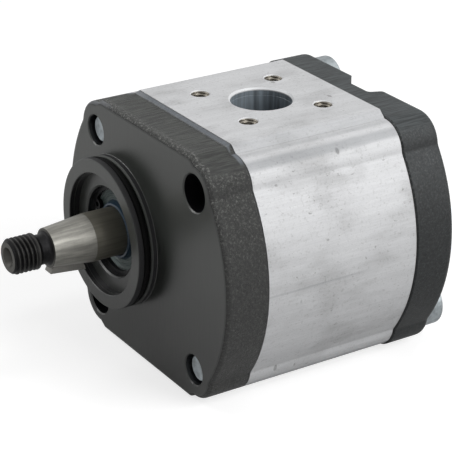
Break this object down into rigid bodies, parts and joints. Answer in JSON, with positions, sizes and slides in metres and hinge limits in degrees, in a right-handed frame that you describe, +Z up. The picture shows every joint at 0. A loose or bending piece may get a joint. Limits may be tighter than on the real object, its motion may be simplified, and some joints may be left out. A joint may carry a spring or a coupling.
{
  "type": "external gear hydraulic pump",
  "caption": "External gear pump with a round pilot, keyed taper shaft with threaded end, flanged ports above and below, and meshed gears that turn inside.",
  "frame": {"origin": "where the drive shaft's axis meets the mounting face of the front flange", "axes": "-Y along the drive shaft towards its threaded end, +Z up through the inlet port, +X towards the driven gear"},
  "size_m": [0.0997, 0.1328, 0.0836],
  "materials": {
    "flange_iron": "dark grey, cast sides, machined front face",
    "cover_iron": "dark grey, as cast",
    "body_aluminium": "satin, extruded, milled pads",
    "block_aluminium": "turned",
    "screw_steel": "pale zinc plate",
    "ground_steel": "ground",
    "spring_steel": "dark, oiled",
    "seal_case_steel": "pressed sheet",
    "bearing_bronze": "bronze-lined",
    "black_rubber": "matt",
    "blue_rubber": "matt blue-green"
  },
  "bodies": {
    "casing": {"front_flange": "flange_iron", "pump_body": "body_aluminium", "rear_cover": "cover_iron", "clamp_screws": "screw_steel", "dowel_pins": "ground_steel", "front_bearing_block": "block_aluminium", "rear_bearing_block": "block_aluminium", "front_pressure_seal": "black_rubber", "rear_pressure_seal": "black_rubber", "front_body_seal": "black_rubber", "rear_body_seal": "black_rubber", "drive_front_bush": "bearing_bronze", "drive_rear_bush": "bearing_bronze", "driven_front_bush": "bearing_bronze", "driven_rear_bush": "bearing_bronze", "shaft_seal_case": "seal_case_steel", "shaft_seal_lip": "blue_rubber", "seal_garter_spring": "ground_steel", "seal_retaining_ring": "spring_steel", "spigot_o_ring": "black_rubber"},
    "drive": {"drive_gear_shaft": "ground_steel", "woodruff_key": "ground_steel"},
    "driven": {"driven_gear_shaft": "ground_steel"}
  },
  "joints": [
    {"name": "drive_spin", "type": "hinge", "parent": "casing", "child": "drive", "pos_m": [0, 0, 0], "axis": [0, 1, 0], "continuous": true},
    {"name": "driven_spin", "type": "hinge", "parent": "casing", "child": "driven", "pos_m": [0.0325, 0, 0], "axis": [0, 1, 0], "continuous": true}
  ],
  "couplings": [
    {"joint": "driven_spin", "follows": "drive_spin", "ratio": -1}
  ]
}
